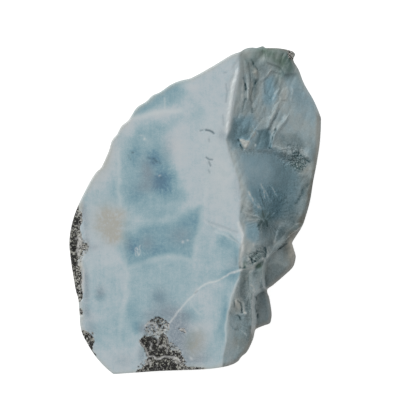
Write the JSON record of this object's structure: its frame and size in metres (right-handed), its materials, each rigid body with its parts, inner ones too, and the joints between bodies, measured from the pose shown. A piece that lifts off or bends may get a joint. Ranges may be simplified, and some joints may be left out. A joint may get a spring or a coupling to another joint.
{
  "type": "larimar slab",
  "caption": "Larimar slab: a thick flat stone with one polished face, a sawn back, dark basalt at its rim and one broken, ledged side.",
  "frame": {"origin": "centre of the slab's footprint, on its sawn back", "axes": "+Y along the slab's length towards its narrow end, +X towards its broken side, +Z out of the polished face"},
  "size_m": [0.0702, 0.0915, 0.024],
  "materials": {
    "larimar": "polished face, broken side and basalt matrix of one stone"
  },
  "bodies": {
    "root": {"larimar_slab": "larimar"}
  },
  "joints": []
}
